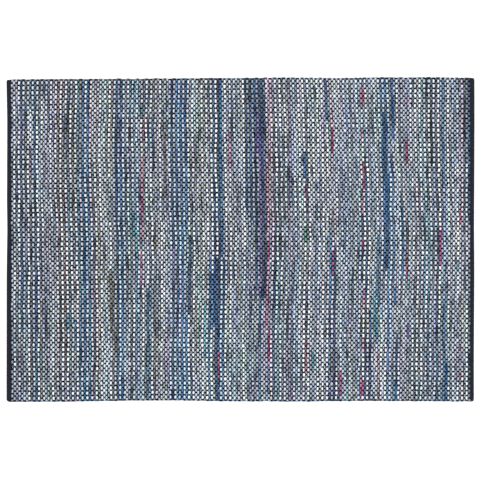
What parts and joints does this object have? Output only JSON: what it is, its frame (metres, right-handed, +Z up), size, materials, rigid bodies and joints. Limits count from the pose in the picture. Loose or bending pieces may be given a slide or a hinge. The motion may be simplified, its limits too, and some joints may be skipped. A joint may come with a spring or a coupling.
{
  "type": "flat-woven cotton rag rug",
  "caption": "Flat-woven oblong rag rug: dense plain weave of bead-like picks, looped selvedges, and a dark folded binding over each short end.",
  "frame": {"origin": "on the surface that the rug lies on, under the middle of its outline", "axes": "+X along the length towards the right binding, +Y across the width along the picks, +Z up out of the face"},
  "size_m": [1.3018, 0.9056, 0.0062],
  "materials": {
    "rag_cotton": "matt cotton rags in white, greys and denim blues with short streaks of other colours, held by near-black cotton warp",
    "binding_cotton": "matt near-black cotton tape, folded and sewn through"
  },
  "bodies": {
    "root": {"rug_cloth": "rag_cotton", "binding_left": "binding_cotton", "binding_right": "binding_cotton"}
  },
  "joints": []
}
